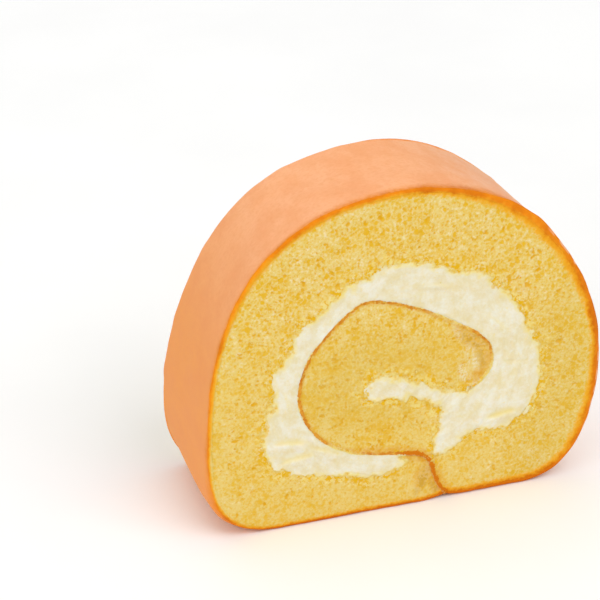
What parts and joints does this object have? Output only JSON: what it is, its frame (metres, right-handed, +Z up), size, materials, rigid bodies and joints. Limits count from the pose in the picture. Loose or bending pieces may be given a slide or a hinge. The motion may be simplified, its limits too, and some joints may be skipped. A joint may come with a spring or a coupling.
{
  "type": "swiss roll cake slice",
  "caption": "Thick slice of cream roll cake: a soft yellow sponge sheet with a baked skin, rolled round whipped cream, flat under the seam, cut on both sides.",
  "frame": {"origin": "middle of the flat base the slice stands on", "axes": "+Z up from the base to the crown, +X to the right across the front cut face, +Y through the slice's thickness from the front cut to the rear cut"},
  "size_m": [0.0842, 0.032, 0.0706],
  "materials": {
    "sponge": "soft yellow sponge crumb with fine open pores, and a smooth matte peach-brown baked skin on the rolled side",
    "cream": "whipped cream, ivory white, soft and slightly moist, dragged by the knife"
  },
  "bodies": {
    "root": {"sponge": "sponge", "cream": "cream"}
  },
  "joints": []
}
